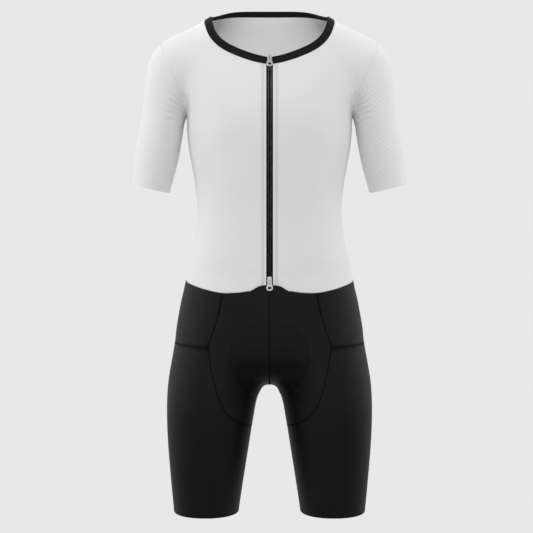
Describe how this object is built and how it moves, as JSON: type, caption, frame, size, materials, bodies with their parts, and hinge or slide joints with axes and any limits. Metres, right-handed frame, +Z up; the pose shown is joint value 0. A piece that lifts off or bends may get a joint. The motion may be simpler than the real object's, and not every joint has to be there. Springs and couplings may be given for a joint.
{
  "type": "triathlon suit",
  "caption": "Close-fitting short-sleeved one-piece sports suit in worn form, with a white top, black shorts to the knee, bound round neck and a two-way front zip.",
  "frame": {"origin": "midway between the tops of the shoulders, where the wearer carries the suit", "axes": "+Z up along the body, -Y to the front where the zip is, +X to the wearer's left"},
  "size_m": [0.521, 0.2486, 0.9622],
  "materials": {
    "white_cloth": "smooth fine knit with a faint sheen",
    "black_cloth": "smooth fine knit with a faint sheen",
    "binding": "matt folded binding",
    "zip_tape": "matt woven tape and moulded teeth",
    "slider_metal": "bright plated",
    "pad_cloth": "brushed fleece"
  },
  "bodies": {
    "suit": {"front_left": "white_cloth", "front_right": "white_cloth", "back": "white_cloth", "sleeve_left": "white_cloth", "sleeve_right": "white_cloth", "rise_front_left": "black_cloth", "rise_front_right": "black_cloth", "rise_back_left": "black_cloth", "rise_back_right": "black_cloth", "hip_left": "black_cloth", "hip_right": "black_cloth", "leg_left": "black_cloth", "leg_right": "black_cloth", "neckband": "binding", "zip_tape_left": "zip_tape", "zip_tape_right": "zip_tape", "zip_chain": "zip_tape", "upper_slider": "slider_metal", "lower_slider": "slider_metal", "seat_pad": "pad_cloth"},
    "upper_tab": {"upper_pull": "slider_metal"},
    "lower_tab": {"lower_pull": "slider_metal"}
  },
  "joints": [
    {"name": "upper_pull_turn", "type": "hinge", "parent": "suit", "child": "upper_tab", "pos_m": [0, -0.09485, -0.06199], "axis": [-1, 0, 0], "range_deg": [0, 165]},
    {"name": "lower_pull_turn", "type": "hinge", "parent": "suit", "child": "lower_tab", "pos_m": [0, -0.11332, -0.47396], "axis": [-1, 0, 0], "range_deg": [0, 165]}
  ]
}
